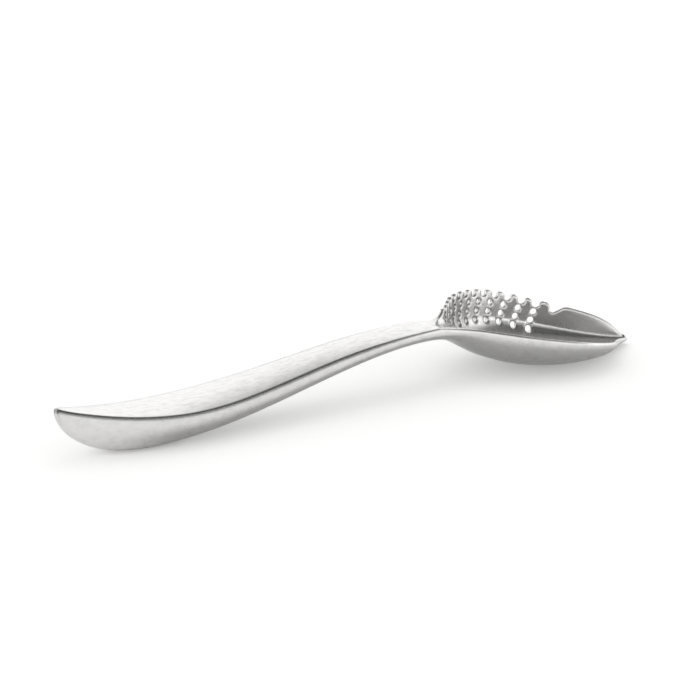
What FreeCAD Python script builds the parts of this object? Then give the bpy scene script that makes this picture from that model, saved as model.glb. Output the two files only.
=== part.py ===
"""One-piece pouring spoon with a raised, pierced wall along one side of its bowl.

Frame: +X runs from the rounded handle end to the pointed tip, +Y to the raised wall, +Z up.
The solid is drawn from the handle end at X = 0 and then set with the bottom centre of its outer
box on the origin. All sizes are in millimetres.
"""
import FreeCAD, Part
import itertools
import math
import os

import Sketcher

os.makedirs("parts", exist_ok=True)
document = FreeCAD.newDocument("spoon")
vector = FreeCAD.Vector
constraint = Sketcher.Constraint

# Point numbers on a sketched line or curve, and the sketch's own origin and upright axis.
START, END, CENTRE = 1, 2, 3
ORIGIN = (-1, 1)
UPRIGHT_AXIS = -2
CURVE_DEGREE = 3

# How far the middle of a quarter arc of radius one stands off the corner's two sides.
QUARTER_ARC_MIDDLE = 1 - math.cos(math.pi / 4)

# Sizes of their own.
SIZES = {
    "tolerance": 0.01,
    "probe": 0.2,
    "short_edge": 1.0,
    "long_edge": 10.0,
    "halvings": 50,
    "block_height": 26.0,
    "handle_fullness": 0.62,
    "bowl_fullness": 0.42,
    "side_share": 0.5,
    "bowl_start": 128.0,
    "wall_thickness": 1.3,
    "brim_place": 117.0,
    "brim_side": 21.0,
    "brim_floor": 18.9,
    "tip_place": 198.9,
    "tip_half": 0.25,
    "tip_side": 2.4,
    "tip_floor": 2.1,
    "crown_radius": 60.0,
    "crown_reach": 14.0,
    "crown_end_place": -2.0,
    "crown_end_crown": 14.6,
    "cut_above": 2.0,
    "cut_reach": 40.0,
    "edge_rounding": 0.5,
    "rim_rounding": 0.35,
    "wall_start": 131.7,
    "cutter_inside": 4.0,
    "cutter_outside": 2.0,
    "nub_count": 13,
    "nub_pitch": 4.6,
    "nub_lead": 1.1,
    "nub_rounding": 0.8,
    "scallop_width": 2.4,
    "scallop_depth": 2.2,
    "hole_diameter": 2.0,
    "hole_rows": 3,
    "hole_columns": 11,
    "hole_pitch": 5.0,
    "hole_lead": 1.0,
    "hole_drop": 3.65,
    "row_step": 2.8,
    "row_lean": 0.9,
    "notch_start": 56.1,
    "notch_floor": 1.1,
    "notch_slope": 3.9,
    "notch_end": 5.3,
    "notch_depth": 2.6,
    "notch_shoulder": 0.5,
    "notch_crown": 0.2,
}

# Outer form: place along the spoon, half width, height where the sides turn upright, underside.
OUTER = {
    "nose": (0.2, 0.9, 13.2, 11.8),
    "snout": (2.2, 2.9, 12.6, 8.2),
    "cheek": (7.0, 5.0, 11.4, 4.0),
    "heel": (16.0, 7.7, 9.7, 0.85),
    "grip": (34.0, 10.55, 8.3, 0.8),
    "stem": (60.0, 9.3, 9.8, 4.7),
    "taper": (90.0, 7.3, 14.3, 10.9),
    "waist": (114.0, 6.6, 16.4, 13.9),
    "neck": (126.0, 6.65, 15.8, 12.6),
    "throat": (132.0, 8.3, 15.2, 9.7),
    "flare": (140.0, 15.2, 14.2, 5.7),
    "shoulder": (150.0, 20.8, 12.4, 2.4),
    "belly": (163.0, 23.0, 10.2, 0.75),
    "chin": (176.0, 18.5, 7.4, 0.75),
    "lip": (187.0, 9.6, 4.6, 0.8),
    "beak": (194.5, 4.2, 2.9, 0.95),
    "point": (199.7, 0.7, 2.0, 1.1),
}

# Height of the crowned top face along the middle of the handle.
CROWN = {
    "cheek": 12.5,
    "heel": 11.1,
    "grip": 10.1,
    "stem": 12.0,
    "taper": 16.3,
    "waist": 18.05,
    "neck": 18.3,
}

# Hollow of the bowl: stretch of the wall where the outline slants, rise of the upright sides over
# the outer ones, and floor.
HOLLOW = {
    "neck": (1.0, 3.2, 16.3),
    "throat": (1.15, 1.3, 13.4),
    "flare": (1.3, 0.0, 7.9),
    "shoulder": (1.08, 0.0, 3.9),
    "belly": (1.0, 0.0, 2.2),
    "chin": (1.18, 0.0, 2.1),
    "lip": (1.28, 0.0, 2.05),
    "beak": (1.22, 0.0, 2.1),
}

# Guide points of the two rims: place along the spoon and height.
LEAD = {
    "lead_start": (112.0, 18.9),
    "lead_end": (122.5, 17.35),
}
NEAR_RIM = {
    "near_neck": (127.0, 16.7),
    "near_flare": (136.0, 15.3),
    "near_shoulder": (150.0, 12.65),
    "near_belly": (165.0, 9.95),
    "near_chin": (180.0, 6.55),
    "near_lip": (190.0, 4.1),
    "near_point": (202.0, 1.75),
}
FLARE_RIM = {
    "flare_neck": (126.5, 16.75),
    "flare_rise": (130.4, 16.9),
}
FAR_RIM = {
    "far_start": (131.2, 19.4),
    "far_flare": (137.0, 20.0),
    "far_shoulder": (147.0, 20.2),
    "far_belly": (158.0, 19.3),
    "far_hip": (169.0, 16.9),
    "far_chin": (180.0, 13.2),
    "far_lip": (190.0, 10.3),
    "far_beak": (196.4, 6.4),
    "far_tip": (198.6, 3.1),
    "far_point": (200.4, 1.9),
}

sheet = document.addObject("Spreadsheet::Sheet", "sizes")
rows = itertools.count(1)


def store(values):
    """Write named sizes below the last ones in the sheet."""
    for name, value in values.items():
        row = next(rows)
        sheet.set("A%d" % row, name)
        sheet.set("B%d" % row, "%g" % value)
        sheet.setAlias("B%d" % row, name)


def store_stations(stations, parts):
    """Write every station's numbers as sizes of their own."""
    for station, numbers in stations.items():
        store({station + "_" + part: number for part, number in zip(parts, numbers)})


store(SIZES)
store({station + "_crown": height for station, height in CROWN.items()})
store_stations(OUTER, ("place", "half", "side", "low"))
store_stations(HOLLOW, ("stretch", "rise", "floor"))
for line in (LEAD, NEAR_RIM, FLARE_RIM, FAR_RIM):
    store_stations(line, ("place", "height"))
document.recompute()


def size(name):
    """Value of a named size."""
    return float(sheet.get(name))


def named(station, part):
    """Value and rule of one of a station's sizes."""
    return size(station + "_" + part), "sizes.%s_%s" % (station, part)


def upright_sketch(name, role, offset=None):
    """Sketch on one of the body's own upright planes, moved along its normal by a rule."""
    sketch = body.newObject("Sketcher::SketchObject", name)
    plane = [item for item in body.Origin.OriginFeatures if item.Role == role][0]
    sketch.AttachmentSupport = [(plane, "")]
    sketch.MapMode = "FlatFace"
    if offset:
        sketch.setExpression("AttachmentOffset.Base.z", offset)
    return sketch


def bind(sketch, kind, geometry, point, value, rule):
    """Hold one coordinate of a point at a rule's value, measured from the sketch's origin."""
    if value >= 0:
        index = sketch.addConstraint(constraint(kind, *ORIGIN, geometry, point, value))
        sketch.setExpression("Constraints[%d]" % index, rule)
    else:
        index = sketch.addConstraint(constraint(kind, geometry, point, *ORIGIN, -value))
        sketch.setExpression("Constraints[%d]" % index, "-(%s)" % rule)


def guided_curve(sketch, guides, joined=None):
    """Smooth curve with a guide point for each (x value, x rule, y value, y rule).

    joined is the curve whose end the first guide point shares.
    """
    inner_knots = len(guides) - CURVE_DEGREE - 1
    knots = [step / (inner_knots + 1) for step in range(inner_knots + 2)]
    repeats = [CURVE_DEGREE + 1] + [1] * inner_knots + [CURVE_DEGREE + 1]
    poles = [vector(x, y, 0) for x, x_rule, y, y_rule in guides]
    curve = Part.BSplineCurve()
    curve.buildFromPolesMultsKnots(poles, repeats, knots, False, CURVE_DEGREE)
    spline = sketch.addGeometry(curve, False)
    sketch.exposeInternalGeometry(spline)
    for guide, (x, x_rule, y, y_rule) in enumerate(guides, spline + 1):
        if guide == spline + 1 and joined is not None:
            sketch.addConstraint(constraint("Coincident", joined, END, spline, START))
            continue
        if x_rule:
            bind(sketch, "DistanceX", guide, CENTRE, x, x_rule)
        else:
            sketch.addConstraint(constraint("PointOnObject", guide, CENTRE, UPRIGHT_AXIS))
        bind(sketch, "DistanceY", guide, CENTRE, y, y_rule)
    return spline


def close_above(sketch, left_end, right_end, lid_height):
    """Close a profile that is open at the top with two upright lines and a level lid.

    left_end and right_end are (geometry, point, x, y) of the open ends, lid_height a value and rule.
    """
    left_geometry, left_point, left, left_height = left_end
    right_geometry, right_point, right, right_height = right_end
    top, top_rule = lid_height
    corners = (
        vector(right, right_height, 0),
        vector(right, top, 0),
        vector(left, top, 0),
        vector(left, left_height, 0),
    )
    up, lid, down = (
        sketch.addGeometry(Part.LineSegment(begin, finish), False)
        for begin, finish in itertools.pairwise(corners)
    )
    sketch.addConstraint(constraint("Coincident", right_geometry, right_point, up, START))
    sketch.addConstraint(constraint("Coincident", up, END, lid, START))
    sketch.addConstraint(constraint("Coincident", lid, END, down, START))
    sketch.addConstraint(constraint("Coincident", down, END, left_geometry, left_point))
    sketch.addConstraint(constraint("Vertical", up))
    sketch.addConstraint(constraint("Vertical", down))
    sketch.addConstraint(constraint("Horizontal", lid))
    bind(sketch, "DistanceY", lid, START, top, top_rule)


def station_sketch(name, place, half, side, low, fullness):
    """Cross-section with a rounded underside between two upright sides.

    place is a rule. half, side, low and fullness are pairs of a value and a rule.
    """
    sketch = upright_sketch(name, "YZ_Plane", place)
    width, width_rule = half
    upper, upper_rule = side
    bottom, bottom_rule = low
    share, share_rule = fullness
    bend = upper - size("side_share") * (upper - bottom)
    bend_rule = "%s - sizes.side_share * (%s - %s)" % (upper_rule, upper_rule, bottom_rule)
    inset = share * width
    inset_rule = "%s * (%s)" % (share_rule, width_rule)
    spline = guided_curve(sketch, [
        (-width, "-(%s)" % width_rule, upper, upper_rule),
        (-width, "-(%s)" % width_rule, bend, bend_rule),
        (-inset, "-(%s)" % inset_rule, bottom, bottom_rule),
        (0, None, bottom, bottom_rule),
        (inset, inset_rule, bottom, bottom_rule),
        (width, width_rule, bend, bend_rule),
        (width, width_rule, upper, upper_rule),
    ])
    block_top = (size("block_height"), "sizes.block_height")
    close_above(sketch, (spline, START, -width, upper), (spline, END, width, upper), block_top)
    return sketch


def crown_sketch(station):
    """Section through all that stands over the crowned top face."""
    sketch = upright_sketch("crown_" + station, "YZ_Plane", "sizes.%s_place" % station)
    height = size(station + "_crown")
    radius = size("crown_radius")
    reach = size("crown_reach")
    edge_height = height - radius + (radius ** 2 - reach ** 2) ** 0.5
    points = (vector(reach, edge_height, 0), vector(0, height, 0), vector(-reach, edge_height, 0))
    arc = sketch.addGeometry(Part.Arc(*points), False)
    sketch.addConstraint(constraint("PointOnObject", arc, CENTRE, UPRIGHT_AXIS))
    index = sketch.addConstraint(constraint("Radius", arc, radius))
    sketch.setExpression("Constraints[%d]" % index, "sizes.crown_radius")
    centre_rule = "sizes.%s_crown - sizes.crown_radius" % station
    bind(sketch, "DistanceY", arc, CENTRE, height - radius, centre_rule)
    bind(sketch, "DistanceX", arc, START, reach, "sizes.crown_reach")
    bind(sketch, "DistanceX", arc, END, -reach, "-sizes.crown_reach")
    close_above(sketch, (arc, END, -reach, edge_height), (arc, START, reach, edge_height), cut_top)
    return sketch


def loft(kind, name, sections):
    """Loft through the sections, in order."""
    feature = body.newObject(kind, name)
    feature.Profile = sections[0]
    feature.Sections = sections[1:]
    document.recompute()
    return feature


body = document.addObject("PartDesign::Body", "form")
cut_top = (size("block_height") + size("cut_above"), "sizes.block_height + sizes.cut_above")

# Outer form, from the nose of the handle to the tip, with sides taller than the rims.
outer_sections = []
for station in OUTER:
    fullness = "handle_fullness" if size(station + "_place") < size("bowl_start") else "bowl_fullness"
    outer_sections.append(station_sketch(
        "outer_" + station,
        "sizes.%s_place" % station,
        named(station, "half"),
        named(station, "side"),
        named(station, "low"),
        (size(fullness), "sizes." + fullness),
    ))
outer_form = loft("PartDesign::AdditiveLoft", "outer_form", outer_sections)

# Hollow of the bowl, one wall thickness inside the outline, from the brim to the tip.
bowl_fullness = (size("bowl_fullness"), "sizes.bowl_fullness")
brim_half = (
    size("neck_half") - size("wall_thickness"),
    "sizes.neck_half - sizes.wall_thickness",
)
hollow_sections = [station_sketch(
    "hollow_brim",
    "sizes.brim_place",
    brim_half,
    named("brim", "side"),
    named("brim", "floor"),
    bowl_fullness,
)]
for station in HOLLOW:
    half = (
        size(station + "_half") - size("wall_thickness") * size(station + "_stretch"),
        "sizes.{0}_half - sizes.wall_thickness * sizes.{0}_stretch".format(station),
    )
    side = (
        size(station + "_side") + size(station + "_rise"),
        "(sizes.{0}_side + sizes.{0}_rise)".format(station),
    )
    hollow_sections.append(station_sketch(
        "hollow_" + station,
        "sizes.%s_place" % station,
        half,
        side,
        named(station, "floor"),
        bowl_fullness,
    ))
hollow_sections.append(station_sketch(
    "hollow_tip",
    "sizes.tip_place",
    named("tip", "half"),
    named("tip", "side"),
    named("tip", "floor"),
    bowl_fullness,
))
loft("PartDesign::SubtractiveLoft", "hollow", hollow_sections)

# Crowned top face of the handle.
crown_sections = [crown_sketch(station) for station in ["crown_end", *CROWN]]
loft("PartDesign::SubtractiveLoft", "crown", crown_sections)


def rim_cut(name, lines, toward_near_side):
    """Cut away all that stands above a rim line, on one side of the middle plane.

    Both rims leave the top of the neck on one straight lead.
    """
    sketch = upright_sketch(name + "_line", "XZ_Plane")
    begin, finish = (vector(size(end + "_place"), size(end + "_height"), 0) for end in LEAD)
    joined = sketch.addGeometry(Part.LineSegment(begin, finish), False)
    lead = joined
    for point, end in zip((START, END), LEAD):
        bind(sketch, "DistanceX", lead, point, *named(end, "place"))
        bind(sketch, "DistanceY", lead, point, *named(end, "height"))
    for line in lines:
        guides = [(*named(station, "place"), *named(station, "height")) for station in line]
        joined = guided_curve(sketch, guides, joined)
    last_station = lines[-1][-1]
    last_end = (joined, END, size(last_station + "_place"), size(last_station + "_height"))
    close_above(sketch, (lead, START, begin.x, begin.y), last_end, cut_top)
    document.recompute()
    pocket = body.newObject("PartDesign::Pocket", name)
    pocket.Profile = sketch
    pocket.setExpression("Length", "sizes.cut_reach")
    pocket.Reversed = toward_near_side
    document.recompute()
    return sketch


rim_cut("near_rim", [["lead_end", *NEAR_RIM]], True)
far_line = rim_cut("far_rim", [["lead_end", *FLARE_RIM, "far_start"], [*FAR_RIM]], False)

# Plan outline of the whole spoon, the part of it that carries the wall, and the wall's top line.
lid_face = max(outer_form.Shape.Faces, key=lambda face: face.CenterOfMass.z)
outline = lid_face.OuterWire
wall_line = max(outline.Edges, key=lambda edge: (edge.CenterOfMass.y > 0, edge.Length))
far_curves = [edge for edge in far_line.Shape.Edges if edge.Curve.TypeId == "Part::GeomBSplineCurve"]
far_curve = max(far_curves, key=lambda edge: edge.Length)


def middle(edge):
    """Point halfway along an edge."""
    return edge.valueAt(edge.getParameterByLength(edge.Length / 2))


def on_outline(point):
    """Whether a point lies on the plan outline."""
    above = Part.Vertex(point.x, point.y, lid_face.CenterOfMass.z)
    return outline.distToShape(above)[0] < size("tolerance")


def is_outer_edge(shape, edge):
    """Upper outline of the handle, the neck and the near rim, up to the start of the wall."""
    point = middle(edge)
    free_above = not shape.isInside(point + vector(0, 0, size("probe")), size("tolerance"), True)
    before_wall = point.y < 0 or edge.BoundBox.XMax < size("far_start_place") + size("tolerance")
    return edge.Length > size("short_edge") and free_above and before_wall and on_outline(point)


def is_rim_edge(shape, edge):
    """Both edges of the wall's top and the inner edge of the near rim."""
    rims = [face for face in shape.Faces if face.Surface.TypeId == "Part::GeomSurfaceOfExtrusion"]
    on_rim = any(border.isSame(edge) for face in rims for border in face.Edges)
    return on_rim and edge.BoundBox.XLength > size("long_edge")


def soften(name, radius, test):
    """Round the edges of the body that pass a test."""
    base = body.Tip
    edges = [
        "Edge%d" % number
        for number, edge in enumerate(base.Shape.Edges, 1)
        if test(base.Shape, edge)
    ]
    feature = body.newObject("PartDesign::Fillet", name)
    feature.Base = (base, edges)
    feature.setExpression("Radius", "sizes." + radius)
    document.recompute()


soften("outer_rounding", "edge_rounding", is_outer_edge)
soften("rim_rounding", "rim_rounding", is_rim_edge)


def reaches(curve, first, last, place):
    """Parameter at which a curve that runs along the spoon comes to a place."""
    for halving in range(int(size("halvings"))):
        centre = (first + last) / 2
        if curve.valueAt(centre).x < place:
            first = centre
        else:
            last = centre
    return centre


def rim_height(place):
    """Height of the wall's top at a place along the spoon."""
    parameter = reaches(far_curve, far_curve.FirstParameter, far_curve.LastParameter, place)
    return far_curve.valueAt(parameter).z


line_ends = sorted(wall_line.ParameterRange, key=lambda parameter: wall_line.valueAt(parameter).x)
start_parameter = reaches(wall_line, *line_ends, size("wall_start"))
start_length = wall_line.Curve.length(wall_line.FirstParameter, start_parameter)
direction = 1 if line_ends[0] == wall_line.FirstParameter else -1


def wall_frame(distance):
    """Rim point, level direction along the wall and outward direction at a distance from its start."""
    parameter = wall_line.getParameterByLength(start_length + direction * distance)
    tangent = wall_line.tangentAt(parameter) * direction
    along = vector(tangent.x, tangent.y, 0).normalize()
    outward = vector(-along.y, along.x, 0)
    point = wall_line.valueAt(parameter)
    return vector(point.x, point.y, rim_height(point.x)), along, outward


def wall_cutter(distance, profile):
    """Cutter through the wall with a profile of lines and arcs.

    profile lists (across, below the rim) points. A point with a third entry is the middle of an
    arc between its neighbours.
    """
    point, along, outward = wall_frame(distance)
    pitch = size("nub_pitch")
    before, after = (wall_frame(distance + side * pitch / 2)[0] for side in (-1, 1))
    slope = (after.z - before.z) / pitch
    base = point - outward * size("cutter_inside")
    points = [base + along * step[0] + vector(0, 0, step[0] * slope - step[1]) for step in profile]
    edges = [Part.LineSegment(points[-1], points[0]).toShape()]
    for number, step in enumerate(profile[:-1]):
        if len(step) == 3:
            edges.append(Part.Arc(*points[number - 1:number + 2]).toShape())
        elif len(profile[number + 1]) == 2:
            edges.append(Part.LineSegment(points[number], points[number + 1]).toShape())
    return Part.Face(Part.Wire(edges)).extrude(outward * (size("cutter_inside") + size("cutter_outside")))


def scallop(distance):
    """Cutter for one rounded valley between two nubs, with the nubs' rounded shoulders."""
    half = size("scallop_width") / 2
    corner = size("nub_rounding")
    bend = corner * QUARTER_ARC_MIDDLE
    depth = size("scallop_depth")
    clear = -size("cut_above")
    return wall_cutter(distance, [
        (-half - corner, clear),
        (-half - corner, 0),
        (-half - bend, bend, "arc"),
        (-half, corner),
        (-half, depth - half),
        (0, depth, "arc"),
        (half, depth - half),
        (half, corner),
        (half + bend, bend, "arc"),
        (half + corner, 0),
        (half + corner, clear),
    ])


def notch(distance):
    """Cutter for the open notch between the last nub and the plain rim."""
    corner = size("nub_rounding")
    bend = corner * QUARTER_ARC_MIDDLE
    depth = size("notch_depth")
    clear = -size("cut_above")
    slope_end, rim_join = size("notch_slope"), size("notch_end")
    shoulder = size("notch_shoulder")
    return wall_cutter(distance, [
        (-corner, clear),
        (-corner, 0),
        (-bend, bend, "arc"),
        (0, corner),
        (0, depth - corner),
        (bend, depth - bend, "arc"),
        (corner, depth),
        (size("notch_floor"), depth),
        (slope_end, shoulder),
        ((slope_end + rim_join) / 2, shoulder * size("notch_crown"), "arc"),
        (rim_join, 0),
        (rim_join, clear),
    ])


def hole(distance, drop):
    """Cutter for one round hole."""
    point, along, outward = wall_frame(distance)
    start = point - outward * size("cutter_inside") - vector(0, 0, drop)
    length = size("cutter_inside") + size("cutter_outside")
    return Part.makeCylinder(size("hole_diameter") / 2, length, start, outward)


# Valleys between the nubs, the notch after the last nub, and the rows of holes below them.
cutters = [notch(size("notch_start"))]
for gap in range(1, int(size("nub_count"))):
    cutters.append(scallop((gap - 1 / 2) * size("nub_pitch") - size("nub_lead")))
for row, column in itertools.product(range(int(size("hole_rows"))), range(int(size("hole_columns")))):
    distance = size("hole_lead") + column * size("hole_pitch") - row * size("row_lean")
    cutters.append(hole(distance, size("hole_drop") + row * size("row_step")))
perforations = document.addObject("Part::Feature", "perforations")
perforations.Shape = Part.makeCompound(cutters)

spoon = document.addObject("Part::Cut", "pierced")
spoon.Base = body
spoon.Tool = perforations
spoon.Refine = False
spoon.Label = "spoon"
document.recompute()
box = spoon.Shape.optimalBoundingBox()
spoon.Placement = FreeCAD.Placement(vector(-box.Center.x, -box.Center.y, -box.ZMin), FreeCAD.Rotation())

for item in document.Objects:
    if "Invalid" in item.State or "Error" in item.State:
        raise RuntimeError("%s failed: %s" % (item.Name, item.State))
if spoon.Shape.isNull() or not spoon.Shape.isValid() or len(spoon.Shape.Solids) != 1:
    raise RuntimeError("the spoon is not one valid solid")
spoon.Shape.exportStep("parts/spoon.step")
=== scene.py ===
"""Brushed steel pouring spoon with a raised, pierced wall along one side of its bowl.

The spoon is one solid piece of steel. Its form comes from the frame, and this file gives it its
smooth shading, its satin finish with brushing, scratches and wear, painted shade in its grooves
and on its underside, a painted dark reflection along the handle's edges, the pale floor, the soft
light and the viewpoint. Lengths are in metres.
"""

import logging
import math
from dataclasses import dataclass, field
from enum import Enum
from typing import Any

import bpy
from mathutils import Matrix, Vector


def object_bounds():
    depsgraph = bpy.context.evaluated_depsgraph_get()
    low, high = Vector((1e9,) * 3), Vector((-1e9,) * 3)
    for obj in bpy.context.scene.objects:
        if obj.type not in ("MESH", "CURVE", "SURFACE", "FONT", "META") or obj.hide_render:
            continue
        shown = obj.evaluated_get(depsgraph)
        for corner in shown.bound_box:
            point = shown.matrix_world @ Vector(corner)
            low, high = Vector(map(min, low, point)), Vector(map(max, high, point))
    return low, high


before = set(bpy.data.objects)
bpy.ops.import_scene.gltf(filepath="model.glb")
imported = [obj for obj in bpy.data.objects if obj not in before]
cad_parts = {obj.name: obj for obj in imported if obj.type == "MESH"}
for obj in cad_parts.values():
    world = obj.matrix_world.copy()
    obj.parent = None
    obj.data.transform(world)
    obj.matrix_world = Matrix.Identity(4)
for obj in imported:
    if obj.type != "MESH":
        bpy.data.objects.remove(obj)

CAD_BOX = [list(corner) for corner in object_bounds()]
MILLIMETRE = 0.001

# Sockets of Blender's Mix node for colours, which share their names with those for numbers.
MIX_FIRST, MIX_SECOND, MIX_RESULT = 6, 7, 2
# Sockets of the same node for numbers.
BLEND_FIRST, BLEND_SECOND, BLEND_RESULT = 2, 3, 0

log = logging.getLogger("spoon")

NodeTree = bpy.types.NodeTree
Node = bpy.types.Node
Socket = bpy.types.NodeSocket
Colour = tuple[float, float, float, float]
Triple = tuple[float, float, float]
Span = tuple[float, float]


def add_node(tree: NodeTree, kind: str, name: str, **settings: Any) -> Node:
    """Adds one node to a tree.

    Args:
        tree: The tree that receives the node.
        kind: Blender's type name of the node.
        name: What the node does, in plain words.
        **settings: Properties of the node, by name.

    Returns:
        The new node.
    """
    node = tree.nodes.new(kind)
    node.name = name
    node.label = name
    for key, value in settings.items():
        setattr(node, key, value)
    return node


def feed(tree: NodeTree, socket: Socket, source: Socket | float | tuple[float, ...]) -> None:
    """Gives an input either a link or a plain value.

    Args:
        tree: The tree that both belong to.
        socket: The input.
        source: An output to link from, or the value to set.
    """
    if isinstance(source, bpy.types.NodeSocket):
        tree.links.new(source, socket)
    else:
        socket.default_value = source


def compute(
    tree: NodeTree,
    operation: str,
    name: str,
    first: Socket | float,
    second: Socket | float = 0.0,
    third: Socket | float = 0.0,
    clamp: bool = False,
) -> Socket:
    """Adds one arithmetic step.

    Args:
        tree: The tree that receives the step.
        operation: Blender's name of the operation.
        name: What the step works out.
        first: First operand.
        second: Second operand.
        third: Third operand, for operations that take one.
        clamp: Whether the result is kept between 0 and 1.

    Returns:
        The socket that carries the result.
    """
    node = add_node(tree, "ShaderNodeMath", name, operation=operation, use_clamp=clamp)
    for socket, value in zip(node.inputs, (first, second, third)):
        feed(tree, socket, value)
    return node.outputs[0]


def compute_vector(
    tree: NodeTree,
    operation: str,
    name: str,
    first: Socket,
    second: Socket | Triple = (0.0, 0.0, 0.0),
) -> Node:
    """Adds one step with vectors.

    Args:
        tree: The tree that receives the step.
        operation: Blender's name of the operation.
        name: What the step works out.
        first: First operand.
        second: Second operand.

    Returns:
        The step's node, with its outputs Vector and Value.
    """
    node = add_node(tree, "ShaderNodeVectorMath", name, operation=operation)
    feed(tree, node.inputs[0], first)
    feed(tree, node.inputs[1], second)
    return node


def component(tree: NodeTree, name: str, vector: Socket, axis: str) -> Socket:
    """Takes one component out of a vector.

    Args:
        tree: The tree that receives the step.
        name: What the component tells.
        vector: The vector.
        axis: X, Y or Z.

    Returns:
        The socket that carries the component.
    """
    split = add_node(tree, "ShaderNodeSeparateXYZ", name)
    tree.links.new(vector, split.inputs[0])
    return split.outputs[axis]


def remap(
    tree: NodeTree,
    name: str,
    value: Socket,
    source: Span,
    target: tuple[float | Socket, float | Socket] = (0.0, 1.0),
    smooth: bool = False,
) -> Socket:
    """Maps a value from one range to another, clamped to the second.

    Args:
        tree: The tree that receives the step.
        name: What the step works out.
        value: The value to map.
        source: Range that the value comes in.
        target: Range that it goes to.
        smooth: Whether the ends are eased.

    Returns:
        The socket that carries the result.
    """
    kind = "SMOOTHSTEP" if smooth else "LINEAR"
    node = add_node(tree, "ShaderNodeMapRange", name, interpolation_type=kind)
    feed(tree, node.inputs["Value"], value)
    feed(tree, node.inputs["From Min"], source[0])
    feed(tree, node.inputs["From Max"], source[1])
    feed(tree, node.inputs["To Min"], target[0])
    feed(tree, node.inputs["To Max"], target[1])
    return node.outputs["Result"]


def mix_colours(
    tree: NodeTree,
    name: str,
    share: Socket,
    first: Socket | Colour,
    second: Socket | Colour,
) -> Socket:
    """Mixes two colours.

    Args:
        tree: The tree that receives the step.
        name: What the mix gives.
        share: Share of the second colour, from 0 to 1.
        first: First colour.
        second: Second colour.

    Returns:
        The socket that carries the mixed colour.
    """
    node = add_node(tree, "ShaderNodeMix", name, data_type="RGBA")
    feed(tree, node.inputs["Factor"], share)
    feed(tree, node.inputs[MIX_FIRST], first)
    feed(tree, node.inputs[MIX_SECOND], second)
    return node.outputs[MIX_RESULT]


def blend(tree: NodeTree, name: str, share: Socket, first: Socket, second: Socket) -> Socket:
    """Blends two numbers.

    Args:
        tree: The tree that receives the step.
        name: What the blend gives.
        share: Share of the second number, from 0 to 1.
        first: First number.
        second: Second number.

    Returns:
        The socket that carries the blended number.
    """
    node = add_node(tree, "ShaderNodeMix", name, data_type="FLOAT")
    feed(tree, node.inputs["Factor"], share)
    feed(tree, node.inputs[BLEND_FIRST], first)
    feed(tree, node.inputs[BLEND_SECOND], second)
    return node.outputs[BLEND_RESULT]


class Heading(Enum):
    """Direction in which a set of marks runs, as turns about the spoon's three axes in degrees."""

    ALONG = (0.0, 0.0, 0.0)
    SLANTED_LEFT = (4.0, 7.0, 28.0)
    SLANTED_RIGHT = (-5.0, 6.0, -37.0)
    ACROSS = (3.0, -4.0, 82.0)


@dataclass(frozen=True)
class MarkGroup:
    """Node group that draws long thin marks: brushing when dense, scratches when sparse."""

    name: str = "steel marks"
    detail: float = 3.0
    grain: float = 0.55
    highest: float = 0.74
    sharpness: float = 14.0

    def build(self) -> bpy.types.ShaderNodeTree:
        """Builds the group, or returns it if it is there already.

        Returns:
            A node tree with inputs for spacing, length, turn and cover, and the outputs Height,
            from 0 to 1 over the surface, and Mask, 1 on a mark.
        """
        if self.name in bpy.data.node_groups:
            return bpy.data.node_groups[self.name]
        tree = bpy.data.node_groups.new(self.name, "ShaderNodeTree")
        inputs = (
            ("Position", "NodeSocketVector"),
            ("Turn", "NodeSocketVector"),
            ("Per Metre Along", "NodeSocketFloat"),
            ("Per Metre Across", "NodeSocketFloat"),
            ("Cover", "NodeSocketFloat"),
            ("Seed", "NodeSocketFloat"),
        )
        for label, kind in inputs:
            tree.interface.new_socket(name=label, in_out="INPUT", socket_type=kind)
        for label in ("Height", "Mask"):
            tree.interface.new_socket(name=label, in_out="OUTPUT", socket_type="NodeSocketFloat")
        start = add_node(tree, "NodeGroupInput", "inputs")
        end = add_node(tree, "NodeGroupOutput", "outputs")
        placed = self.pattern_place(tree, start)
        noise = add_node(tree, "ShaderNodeTexNoise", "marks", noise_dimensions="4D")
        noise.inputs["Scale"].default_value = 1.0
        noise.inputs["Detail"].default_value = self.detail
        noise.inputs["Roughness"].default_value = self.grain
        tree.links.new(placed, noise.inputs["Vector"])
        tree.links.new(start.outputs["Seed"], noise.inputs["W"])
        height = noise.outputs["Fac"]
        tree.links.new(height, end.inputs["Height"])
        cover = start.outputs["Cover"]
        level = compute(tree, "SUBTRACT", "height that counts as a mark", self.highest, cover)
        over = compute(tree, "SUBTRACT", "height over that level", height, level)
        mask = compute(tree, "MULTIPLY", "edge of a mark", over, self.sharpness, clamp=True)
        tree.links.new(mask, end.inputs["Mask"])
        return tree

    def pattern_place(self, tree: NodeTree, start: Node) -> Socket:
        """Turns and stretches the place on the spoon into the place in the pattern.

        Args:
            tree: The group's tree.
            start: The node with the group's inputs.

        Returns:
            The socket that carries the place in the pattern.
        """
        kind = "ShaderNodeVectorRotate"
        turned = add_node(tree, kind, "turn the marks", rotation_type="EULER_XYZ")
        tree.links.new(start.outputs["Position"], turned.inputs["Vector"])
        tree.links.new(start.outputs["Turn"], turned.inputs["Rotation"])
        scale = add_node(tree, "ShaderNodeCombineXYZ", "stretch the marks")
        tree.links.new(start.outputs["Per Metre Along"], scale.inputs["X"])
        for axis in ("Y", "Z"):
            tree.links.new(start.outputs["Per Metre Across"], scale.inputs[axis])
        along, stretch = turned.outputs["Vector"], scale.outputs["Vector"]
        placed = compute_vector(tree, "MULTIPLY", "place in the pattern", along, stretch)
        return placed.outputs["Vector"]


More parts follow.
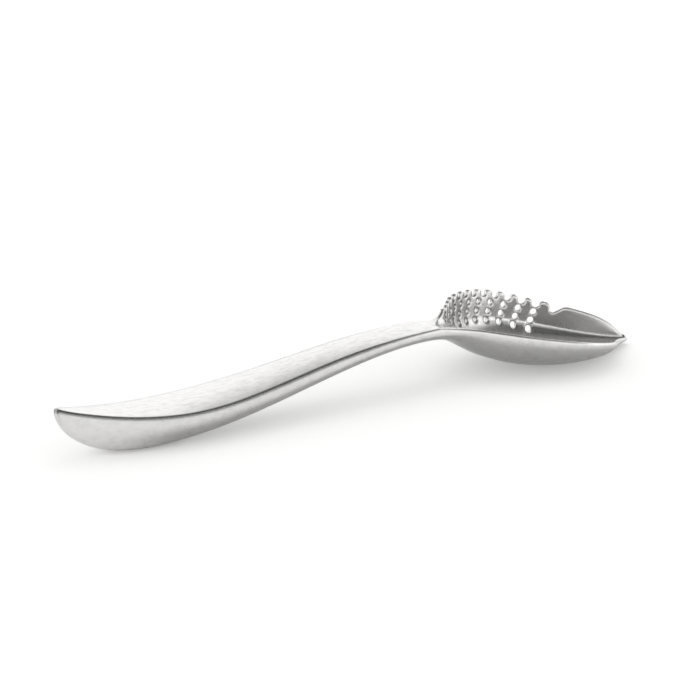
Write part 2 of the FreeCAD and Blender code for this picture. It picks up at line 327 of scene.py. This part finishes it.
@dataclass(frozen=True)
class Marks:
    """One set of marks in the finish, as the group's values."""

    name: str
    heading: Heading
    length: float
    spacing: float
    cover: float
    seed: float

    def place(self, tree: NodeTree, position: Socket) -> Node:
        """Puts the group into a material with this set's values.

        Args:
            tree: The material's tree.
            position: The point on the spoon, in metres.

        Returns:
            The group node, with its outputs Height and Mask.
        """
        node = add_node(tree, "ShaderNodeGroup", self.name, node_tree=MarkGroup().build())
        tree.links.new(position, node.inputs["Position"])
        turns = tuple(math.radians(turn) for turn in self.heading.value)
        node.inputs["Turn"].default_value = turns
        node.inputs["Per Metre Along"].default_value = 1.0 / self.length
        node.inputs["Per Metre Across"].default_value = 1.0 / self.spacing
        node.inputs["Cover"].default_value = self.cover
        node.inputs["Seed"].default_value = self.seed
        return node


BRUSHING = Marks(
    "fine brushing", Heading.ALONG, 5.0 * MILLIMETRE, 0.28 * MILLIMETRE, cover=0.2, seed=1.0
)
SCRATCHES = (
    Marks(
        "scratches left",
        Heading.SLANTED_LEFT,
        4.0 * MILLIMETRE,
        0.35 * MILLIMETRE,
        cover=0.08,
        seed=7.0,
    ),
    Marks(
        "scratches right",
        Heading.SLANTED_RIGHT,
        3.5 * MILLIMETRE,
        0.35 * MILLIMETRE,
        cover=0.08,
        seed=11.0,
    ),
    Marks(
        "scratches across",
        Heading.ACROSS,
        3.0 * MILLIMETRE,
        0.3 * MILLIMETRE,
        cover=0.05,
        seed=17.0,
    ),
)


@dataclass(frozen=True)
class Finish:
    """The effects that the steel's colour, gloss and relief are made of, each from 0 to 1.

    Attributes:
        brushing: Height of the brushing.
        scuffs: Scratches.
        cloud: Handled patches.
        edge: Edges, which are polished.
        dark_reflection_edge: Edges of the handle, where a dark reflection is painted into the
            colour.
        groove: Grooves, where shade is painted into the colour and the steel is rougher.
        inward: 0 at the nose of the handle, 1 from some way in; it limits the painted underside
            shade.
        reach: Reach of the softening of edges, in metres.
    """

    brushing: Socket
    scuffs: Socket
    cloud: Socket
    edge: Socket
    dark_reflection_edge: Socket
    groove: Socket
    inward: Socket
    reach: Socket


@dataclass(frozen=True)
class SatinSteel:
    """Stainless steel with a fine satin brushing, light scratches, handled edges, painted shade in
    grooves and underneath, and a painted dark edge reflection on the handle.
    """

    name: str = "brushed_steel"
    pale: Colour = (0.72, 0.715, 0.705, 1.0)
    dull: Colour = (0.66, 0.655, 0.645, 1.0)
    # painted shade for creases, holes and scallop floors
    painted_groove_shade: Colour = (0.26, 0.25, 0.235, 1.0)
    # painted dark reflection for the handle's edges
    painted_edge_reflection: Colour = (0.04, 0.04, 0.04, 1.0)
    grazing: Colour = (0.82, 0.82, 0.82, 1.0)
    scuff_share: float = 0.35
    groove_shade_share: float = 0.5
    edge_reflection_share: float = 0.92
    # painted shade on the underside: how much, over which tilt and from where along the spoon
    underside_shade_share: float = 0.42
    underside_shade_fall: Span = (-0.02, -0.5)
    underside_shade_place: Span = (8.0 * MILLIMETRE, 32.0 * MILLIMETRE)
    roughness: float = 0.22
    polished: float = 0.12
    smudged: float = 0.27
    brushing_gloss: float = 0.12
    scuff_gloss: float = 0.07
    groove_gloss: float = 0.15
    edge_reach: float = 1.3 * MILLIMETRE
    handle_reach: float = 1.6 * MILLIMETRE
    handle_place: Span = (90.0 * MILLIMETRE, 118.0 * MILLIMETRE)
    edge_match: Span = (0.999, 0.97)
    edge_samples: int = 6
    softening_samples: int = 8
    groove_reach: float = 1.2 * MILLIMETRE
    groove_open: Span = (0.85, 0.35)
    groove_samples: int = 8
    patch_size: float = 1.7 * MILLIMETRE
    patch_stretch: Triple = (0.6, 1.0, 1.0)
    patch_detail: float = 7.0
    patch_grain: float = 0.66
    patch_span: Span = (0.4, 0.68)
    scuff_depth: float = 0.8
    relief_strength: float = 0.3
    relief_height: float = 0.03 * MILLIMETRE
    brushing: Marks = BRUSHING
    scuffs: tuple[Marks, ...] = SCRATCHES

    def build(self) -> bpy.types.Material:
        """Builds the material.

        Returns:
            The finished material.
        """
        material = bpy.data.materials.new(self.name)
        material.use_nodes = True
        tree = material.node_tree
        tree.nodes.clear()
        output = add_node(tree, "ShaderNodeOutputMaterial", "surface")
        shader = add_node(tree, "ShaderNodeBsdfPrincipled", "steel")
        tree.links.new(shader.outputs["BSDF"], output.inputs["Surface"])
        shader.inputs["Metallic"].default_value = 1.0
        shader.inputs["Specular Tint"].default_value = self.grazing
        finish = self.finish(tree)
        tree.links.new(self.colour(tree, finish), shader.inputs["Base Color"])
        tree.links.new(self.gloss(tree, finish), shader.inputs["Roughness"])
        tree.links.new(self.relief(tree, finish), shader.inputs["Normal"])
        return material

    def finish(self, tree: NodeTree) -> Finish:
        """Works out every effect that the finish is made of.

        Args:
            tree: The material's tree.

        Returns:
            The effects.
        """
        position = add_node(tree, "ShaderNodeTexCoord", "place on the spoon").outputs["Object"]
        place = component(tree, "place along the spoon", position, "X")
        along = compute(tree, "SUBTRACT", "distance from the nose", place, CAD_BOX[0][0])
        handle = remap(tree, "handle", along, self.handle_place, (1.0, 0.0), smooth=True)
        reaches = (self.edge_reach, self.handle_reach)
        reach = remap(tree, "reach of the softening", handle, (0.0, 1.0), reaches)
        edge = self.edge_mask(tree, reach)
        return Finish(
            brushing=self.brushing.place(tree, position).outputs["Height"],
            scuffs=self.scuff_mask(tree, position),
            cloud=self.cloud(tree, position),
            edge=edge,
            dark_reflection_edge=compute(tree, "MULTIPLY", "edges of the handle", edge, handle),
            groove=self.groove_mask(tree),
            inward=remap(tree, "in from the nose", along, self.underside_shade_place, smooth=True),
            reach=reach,
        )

    def scuff_mask(self, tree: NodeTree, position: Socket) -> Socket:
        """Joins the sets of scratches into one mask.

        Args:
            tree: The material's tree.
            position: The point on the spoon.

        Returns:
            1 in a scratch and 0 elsewhere.
        """
        total: Socket | float = 0.0
        for marks in self.scuffs:
            mask = marks.place(tree, position).outputs["Mask"]
            total = compute(tree, "MAXIMUM", "scratches so far", mask, total)
        return total

    def cloud(self, tree: NodeTree, position: Socket) -> Socket:
        """Draws the small soft patches where the steel was handled.

        Args:
            tree: The material's tree.
            position: The point on the spoon.

        Returns:
            A value from 0, clean, to 1, smudged.
        """
        name = "patches drawn out along the spoon"
        drawn = compute_vector(tree, "MULTIPLY", name, position, self.patch_stretch)
        noise = add_node(tree, "ShaderNodeTexNoise", "handled patches")
        noise.inputs["Scale"].default_value = 1.0 / self.patch_size
        noise.inputs["Detail"].default_value = self.patch_detail
        noise.inputs["Roughness"].default_value = self.patch_grain
        tree.links.new(drawn.outputs["Vector"], noise.inputs["Vector"])
        return remap(tree, "patches", noise.outputs["Fac"], self.patch_span, smooth=True)

    def edge_mask(self, tree: NodeTree, reach: Socket) -> Socket:
        """Finds the edges that handling has polished.

        Args:
            tree: The material's tree.
            reach: Reach of the softening.

        Returns:
            1 on an edge and 0 on open surface.
        """
        rounded = add_node(
            tree, "ShaderNodeBevel", "rounded direction", samples=self.edge_samples
        )
        tree.links.new(reach, rounded.inputs["Radius"])
        plain = add_node(tree, "ShaderNodeNewGeometry", "plain direction").outputs["Normal"]
        soft = rounded.outputs["Normal"]
        match = compute_vector(tree, "DOT_PRODUCT", "how alike they are", soft, plain)
        return remap(tree, "edges", match.outputs["Value"], self.edge_match, smooth=True)

    def groove_mask(self, tree: NodeTree) -> Socket:
        """Finds creases, holes and scallop floors, where shade is painted into the colour.

        Args:
            tree: The material's tree.

        Returns:
            1 in a groove and 0 in the open.
        """
        kind = "ShaderNodeAmbientOcclusion"
        nearby = add_node(tree, kind, "how open the surface is", samples=self.groove_samples)
        nearby.inputs["Distance"].default_value = self.groove_reach
        return remap(tree, "grooves", nearby.outputs["AO"], self.groove_open, smooth=True)

    def colour(self, tree: NodeTree, finish: Finish) -> Socket:
        """Mixes the base colour, with painted shade and a painted dark reflection in it.

        Args:
            tree: The material's tree.
            finish: The effects.

        Returns:
            The socket that carries the colour.
        """
        worn = compute(
            tree,
            "MULTIPLY_ADD",
            "scratches over patches",
            finish.scuffs,
            self.scuff_share,
            finish.cloud,
            clamp=True,
        )
        base = mix_colours(tree, "clean to dull", worn, self.pale, self.dull)
        # painted shade in creases, holes and scallop floors, where ambient occlusion finds them
        share = compute(tree, "MULTIPLY", "share of grime", finish.groove, self.groove_shade_share)
        with_groove_shade = mix_colours(tree, "grime in grooves", share, base, self.painted_groove_shade)
        # painted dark reflection along the handle's edges
        name = "dark along the edges"
        painted_reflection_mask = compute(tree, "MULTIPLY", name, finish.dark_reflection_edge, self.edge_reflection_share)
        with_edge_reflection = mix_colours(tree, "dark edges of the handle", painted_reflection_mask, with_groove_shade, self.painted_edge_reflection)
        # painted shade on the underside
        shaded = add_node(
            tree, "ShaderNodeVectorMath", "steel with its underside", operation="SCALE"
        )
        tree.links.new(with_edge_reflection, shaded.inputs[0])
        tree.links.new(self.painted_underside_shade(tree, finish), shaded.inputs["Scale"])
        return shaded.outputs[0]

    def painted_underside_shade(self, tree: NodeTree, finish: Finish) -> Socket:
        """Paints shade into the steel's colour where it faces down, away from the nose.

        Args:
            tree: The material's tree.
            finish: The effects.

        Returns:
            The share of its colour that the steel keeps under the painted shade.
        """
        facing = add_node(tree, "ShaderNodeNewGeometry", "which way the surface faces")
        rise = component(tree, "how far it faces down", facing.outputs["Normal"], "Z")
        # painted shade where the surface faces down
        under = remap(tree, "dimmer underside", rise, self.underside_shade_fall, smooth=True)
        name = "underside away from the nose"
        under = compute(tree, "MULTIPLY", name, under, finish.inward)
        name = "what the underside keeps"
        return compute(tree, "MULTIPLY_ADD", name, under, -self.underside_shade_share, 1.0)

    def gloss(self, tree: NodeTree, finish: Finish) -> Socket:
        """Works out the roughness.

        Args:
            tree: The material's tree.
            finish: The effects.

        Returns:
            The socket that carries the roughness.
        """
        more = self.smudged - self.roughness
        smudge = compute(tree, "MULTIPLY", "rougher patches", finish.cloud, more)
        level = compute(tree, "ADD", "satin level", smudge, self.roughness)
        name = "brushing in the gloss"
        swing = self.brushing_gloss
        grain = compute(tree, "MULTIPLY_ADD", name, finish.brushing, swing, -0.5 * swing)
        level = compute(tree, "ADD", "satin with brushing", level, grain)
        name = "scratches in the gloss"
        level = compute(tree, "MULTIPLY_ADD", name, finish.scuffs, self.scuff_gloss, level)
        less = self.polished - self.roughness
        shine = compute(tree, "MULTIPLY", "polished edges", finish.edge, less)
        level = compute(tree, "ADD", "satin with edges", level, shine)
        extra = self.groove_gloss
        groove = finish.groove
        return compute(tree, "MULTIPLY_ADD", "matt grooves", groove, extra, level, clamp=True)

    def relief(self, tree: NodeTree, finish: Finish) -> Socket:
        """Adds the height of the brushing and the scratches, over softened small edges.

        Args:
            tree: The material's tree.
            finish: The effects.

        Returns:
            The socket that carries the direction of the surface.
        """
        name = "scratches cut into the brushing"
        depth = -self.scuff_depth
        cut = compute(tree, "MULTIPLY_ADD", name, finish.scuffs, depth, finish.brushing)
        soft = add_node(
            tree, "ShaderNodeBevel", "softened edges", samples=self.softening_samples
        )
        tree.links.new(finish.reach, soft.inputs["Radius"])
        bump = add_node(tree, "ShaderNodeBump", "brushing and scratches")
        bump.inputs["Strength"].default_value = self.relief_strength
        bump.inputs["Distance"].default_value = self.relief_height
        tree.links.new(cut, bump.inputs["Height"])
        tree.links.new(soft.outputs["Normal"], bump.inputs["Normal"])
        return bump.outputs["Normal"]


@dataclass(frozen=True)
class PaleFloor:
    """Matt white floor that keeps the soft shadow under the spoon."""

    name: str = "pale_floor"
    colour: Colour = (0.9, 0.9, 0.895, 1.0)
    lift: float = 0.28
    far_lift: float = 0.75
    lift_reach: Span = (0.13, 0.45)

    def build(self) -> bpy.types.Material:
        """Builds the material.

        Returns:
            The floor's material: matt, with a little of its own light where the viewer, metal or
            glass sees it, so that it reads as white.
        """
        material = bpy.data.materials.new(self.name)
        material.use_nodes = True
        tree = material.node_tree
        tree.nodes.clear()
        output = add_node(tree, "ShaderNodeOutputMaterial", "surface")
        matt = add_node(tree, "ShaderNodeBsdfDiffuse", "matt white")
        matt.inputs["Color"].default_value = self.colour
        path = add_node(tree, "ShaderNodeLightPath", "what sees the floor").outputs
        seen = path["Is Camera Ray"]
        for name, ray in (("or mirrored", "Is Glossy Ray"), ("or glass", "Is Transmission Ray")):
            seen = compute(tree, "MAXIMUM", name, seen, path[ray])
        place = add_node(tree, "ShaderNodeTexCoord", "place on the floor").outputs["Object"]
        away = compute_vector(tree, "LENGTH", "distance from the spoon", place).outputs["Value"]
        lifts = (self.lift, self.far_lift)
        lift = remap(tree, "lift by distance", away, self.lift_reach, lifts, smooth=True)
        glow = add_node(tree, "ShaderNodeEmission", "own light")
        strength = compute(tree, "MULTIPLY", "lift to white", seen, lift)
        tree.links.new(strength, glow.inputs["Strength"])
        both = add_node(tree, "ShaderNodeAddShader", "matt with own light")
        tree.links.new(matt.outputs[0], both.inputs[0])
        tree.links.new(glow.outputs[0], both.inputs[1])
        tree.links.new(both.outputs[0], output.inputs["Surface"])
        return material


@dataclass
class Spoon:
    """The one-piece spoon: handle, neck, bowl and pierced wall."""

    node: str = "spoon"
    weld: float = 0.004 * MILLIMETRE
    crease: float = 32.0
    evenness: int = 50
    steel: SatinSteel = field(default_factory=SatinSteel)

    def mesh(self) -> bpy.types.Object:
        """Joins the surface of the spoon and shades it smooth up to its creases.

        Returns:
            The spoon's object.
        """
        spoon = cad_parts[self.node]
        weld = spoon.modifiers.new("join surface", "WELD")
        weld.merge_threshold = self.weld
        smooth = spoon.modifiers.new("smooth to creases", "NODES")
        smooth.node_group = self.crease_group()
        weighted = spoon.modifiers.new("even shading", "WEIGHTED_NORMAL")
        weighted.keep_sharp = True
        weighted.weight = self.evenness
        return spoon

    def crease_group(self) -> bpy.types.GeometryNodeTree:
        """Builds the node tree that marks creases by their angle.

        Returns:
            A tree that takes and gives one geometry.
        """
        tree = bpy.data.node_groups.new("creases", "GeometryNodeTree")
        for way in ("INPUT", "OUTPUT"):
            tree.interface.new_socket(
                name="Geometry", in_out=way, socket_type="NodeSocketGeometry"
            )
        start = add_node(tree, "NodeGroupInput", "surface in")
        end = add_node(tree, "NodeGroupOutput", "surface out")
        angle = add_node(tree, "GeometryNodeInputMeshEdgeAngle", "angle at each edge")
        soft = add_node(
            tree,
            "FunctionNodeCompare",
            "below the crease angle",
            data_type="FLOAT",
            operation="LESS_THAN",
        )
        tree.links.new(angle.outputs["Unsigned Angle"], soft.inputs[0])
        soft.inputs[1].default_value = math.radians(self.crease)
        kind = "GeometryNodeSetShadeSmooth"
        faces = add_node(tree, kind, "smooth faces", domain="FACE")
        edges = add_node(tree, kind, "sharp creases", domain="EDGE")
        tree.links.new(start.outputs[0], faces.inputs["Geometry"])
        tree.links.new(faces.outputs[0], edges.inputs["Geometry"])
        tree.links.new(soft.outputs[0], edges.inputs["Shade Smooth"])
        tree.links.new(edges.outputs[0], end.inputs[0])
        return tree

    def dress(self, spoon: bpy.types.Object) -> None:
        """Gives every surface of the spoon its steel.

        Args:
            spoon: The spoon's object.
        """
        steel = self.steel.build()
        for slot in spoon.material_slots:
            slot.material = steel


@dataclass(frozen=True)
class Studio:
    """Pale floor and the soft light round it.

    The spans are ranges of a direction's rise, which is 0 at the horizon and 1 straight up, except
    for side_span, which goes from in front of the spoon to behind it.
    """

    floor_reach: float = 4.0
    ambient: float = 1.15
    overhead: float = -0.55
    lamp_height: float = 0.45
    lamp_behind: float = 0.1
    lamp_width: float = 0.34
    lamp_power: float = 0.16
    backdrop: float = 1.5
    backdrop_span: Span = (0.38, 0.74)
    front: float = 1.55
    front_upper: float = 0.5
    front_span: Span = (0.2, 0.42)
    front_end: Span = (0.62, 0.9)
    side_span: Span = (-0.3, 0.3)
    ceiling: float = 0.2

    def floor(self) -> bpy.types.Object:
        """Lays the floor at the spoon's lowest point.

        Returns:
            The floor's object.
        """
        reach = self.floor_reach
        signs = ((-1, -1), (1, -1), (1, 1), (-1, 1))
        corners = [(reach * x, reach * y, 0.0) for x, y in signs]
        mesh = bpy.data.meshes.new("floor")
        mesh.from_pydata(corners, [], [(0, 1, 2, 3)])
        floor = bpy.data.objects.new("floor", mesh)
        floor.data.materials.append(PaleFloor().build())
        bpy.context.scene.collection.objects.link(floor)
        return floor

    def light(self, away: Vector) -> None:
        """Fills the surroundings with soft light, bright near the floor and darker overhead.

        Args:
            away: Level direction from the viewer to the spoon.
        """
        world = bpy.data.worlds.new("soft studio")
        bpy.context.scene.world = world
        world.use_nodes = True
        tree = world.node_tree
        tree.nodes.clear()
        output = add_node(tree, "ShaderNodeOutputWorld", "surroundings")
        toward = add_node(tree, "ShaderNodeTexCoord", "direction").outputs["Generated"]
        rise = component(tree, "rise of the direction", toward, "Z")
        name = "plain light by height"
        plain = compute(tree, "MULTIPLY_ADD", name, rise, self.overhead, self.ambient)
        mirrored = self.mirrored(tree, toward, rise, away)
        path = add_node(tree, "ShaderNodeLightPath", "what sees the surroundings")
        glossy = path.outputs["Is Glossy Ray"]
        level = blend(tree, "mirrored or plain", glossy, plain, mirrored)
        light = add_node(tree, "ShaderNodeBackground", "soft light")
        light.inputs["Color"].default_value = (1.0, 1.0, 1.0, 1.0)
        tree.links.new(level, light.inputs["Strength"])
        tree.links.new(light.outputs[0], output.inputs["Surface"])

    def mirrored(self, tree: NodeTree, toward: Socket, rise: Socket, away: Vector) -> Socket:
        """Works out what metal mirrors: a backdrop behind, a front light and a dim ceiling.

        Args:
            tree: The world's tree.
            toward: The direction.
            rise: Its rise.
            away: Level direction from the viewer to the spoon.

        Returns:
            The socket that carries the strength of the light from that direction.
        """
        levels = (self.backdrop, self.ceiling)
        back = remap(tree, "backdrop", rise, self.backdrop_span, levels, smooth=True)
        levels = (self.front, self.front_upper)
        low = remap(tree, "low front light", rise, self.front_span, levels, smooth=True)
        levels = (1.0, self.ceiling)
        high = remap(tree, "end of the front light", rise, self.front_end, levels, smooth=True)
        front = compute(tree, "MULTIPLY", "front light", low, high)
        level_way = (away.x, away.y, 0.0)
        side = compute_vector(tree, "DOT_PRODUCT", "behind or in front", toward, level_way)
        behind = side.outputs["Value"]
        share = remap(tree, "share of the backdrop", behind, self.side_span, smooth=True)
        return blend(tree, "what metal mirrors", share, front, back)

    def lamp(self, away: Vector) -> bpy.types.Object:
        """Hangs one wide soft lamp over the spoon, a little behind it.

        Args:
            away: Level direction from the viewer to the spoon.

        Returns:
            The lamp's object.
        """
        data = bpy.data.lights.new("overhead_lamp", "AREA")
        data.shape = "SQUARE"
        data.size = self.lamp_width
        data.energy = self.lamp_power
        lamp = bpy.data.objects.new("overhead_lamp", data)
        lamp.location = away * self.lamp_behind + Vector((0.0, 0.0, self.lamp_height))
        lamp.rotation_euler = (-lamp.location).to_track_quat("-Z", "Y").to_euler()
        lamp.visible_glossy = False
        bpy.context.scene.collection.objects.link(lamp)
        return lamp


@dataclass(frozen=True)
class Viewpoint:
    """Where the viewer stands and how narrow the view is."""

    place: Triple = (-0.33525, -0.41601, 0.14648)
    turn: float = 51.793
    fall: float = 14.0
    lens: float = 102.857
    sensor: float = 36.0
    nearest: float = 0.01
    farthest: float = 50.0

    def away(self) -> Vector:
        """Level direction of the view."""
        turn = math.radians(self.turn)
        return Vector((math.cos(turn), math.sin(turn), 0.0))

    def build(self) -> bpy.types.Object:
        """Makes the camera.

        Returns:
            The camera's object.
        """
        data = bpy.data.cameras.new("viewpoint")
        data.lens = self.lens
        data.sensor_width = self.sensor
        data.clip_start = self.nearest
        data.clip_end = self.farthest
        camera = bpy.data.objects.new("viewpoint", data)
        camera.location = self.place
        tilt, turn = math.radians(90.0 - self.fall), math.radians(self.turn - 90.0)
        camera.rotation_euler = (tilt, 0.0, turn)
        bpy.context.scene.collection.objects.link(camera)
        bpy.context.scene.camera = camera
        return camera


def main() -> None:
    """Builds the spoon, the studio and the viewpoint, and reports each."""
    logging.basicConfig(level=logging.INFO, format="%(name)s: %(message)s")
    bpy.context.scene.view_settings.view_transform = "Standard"
    spoon = Spoon()
    piece = spoon.mesh()
    spoon.dress(piece)
    log.info("spoon shaded and dressed, %d faces in the frame", len(piece.data.polygons))
    viewpoint = Viewpoint()
    camera = viewpoint.build()
    log.info("viewpoint at %s", tuple(round(value, 4) for value in camera.location))
    studio = Studio()
    floor = studio.floor()
    studio.light(viewpoint.away())
    studio.lamp(viewpoint.away())
    log.info("floor %s and soft light set", floor.name)


if __name__ == "__main__":
    main()
